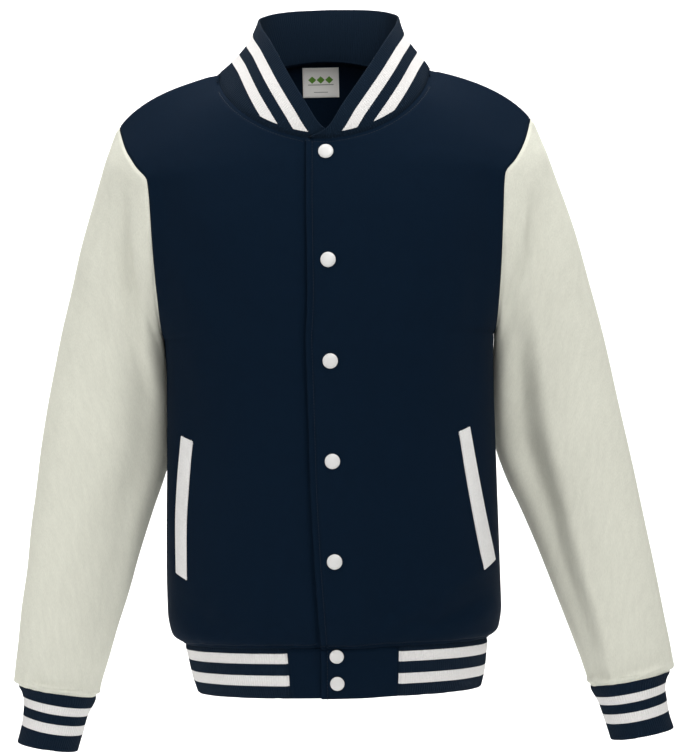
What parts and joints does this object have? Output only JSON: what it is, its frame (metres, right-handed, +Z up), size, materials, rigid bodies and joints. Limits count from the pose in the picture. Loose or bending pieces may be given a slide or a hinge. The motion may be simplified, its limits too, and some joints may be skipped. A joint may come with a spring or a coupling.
{
  "type": "varsity jacket",
  "caption": "Hollow button-up varsity jacket in fleece as worn, with contrast sleeves, striped rib collar, cuffs and hem, snap front and slanted pocket welts",
  "frame": {"origin": "on the midline, level with the shoulder seams at the neck, where the wearer's shoulders carry the jacket", "axes": "+X to the wearer's left, +Y to the wearer's back, +Z up along the jacket's length"},
  "size_m": [0.7225, 0.2525, 0.8177],
  "materials": {
    "navy_fleece": "brushed sweatshirt fleece, matt",
    "striped_rib": "rib knit, navy with two white stripes",
    "cream_fleece": "brushed sweatshirt fleece, matt",
    "welt_cloth": "white fleece, matt",
    "snap_plastic": "glossy white",
    "label_weave": "woven label"
  },
  "bodies": {
    "root": {"front_right": "navy_fleece", "front_left": "navy_fleece", "back": "navy_fleece", "hem_tab_right": "navy_fleece", "hem_tab_left": "navy_fleece", "hem_rib": "striped_rib", "collar_rib": "striped_rib", "cuff_right": "striped_rib", "cuff_left": "striped_rib", "sleeve_right": "cream_fleece", "sleeve_left": "cream_fleece", "welt_right": "welt_cloth", "welt_left": "welt_cloth", "snap_1": "snap_plastic", "snap_2": "snap_plastic", "snap_3": "snap_plastic", "snap_4": "snap_plastic", "snap_5": "snap_plastic", "snap_6": "snap_plastic", "snap_7": "snap_plastic", "neck_tape": "navy_fleece", "neck_label": "label_weave"}
  },
  "joints": []
}
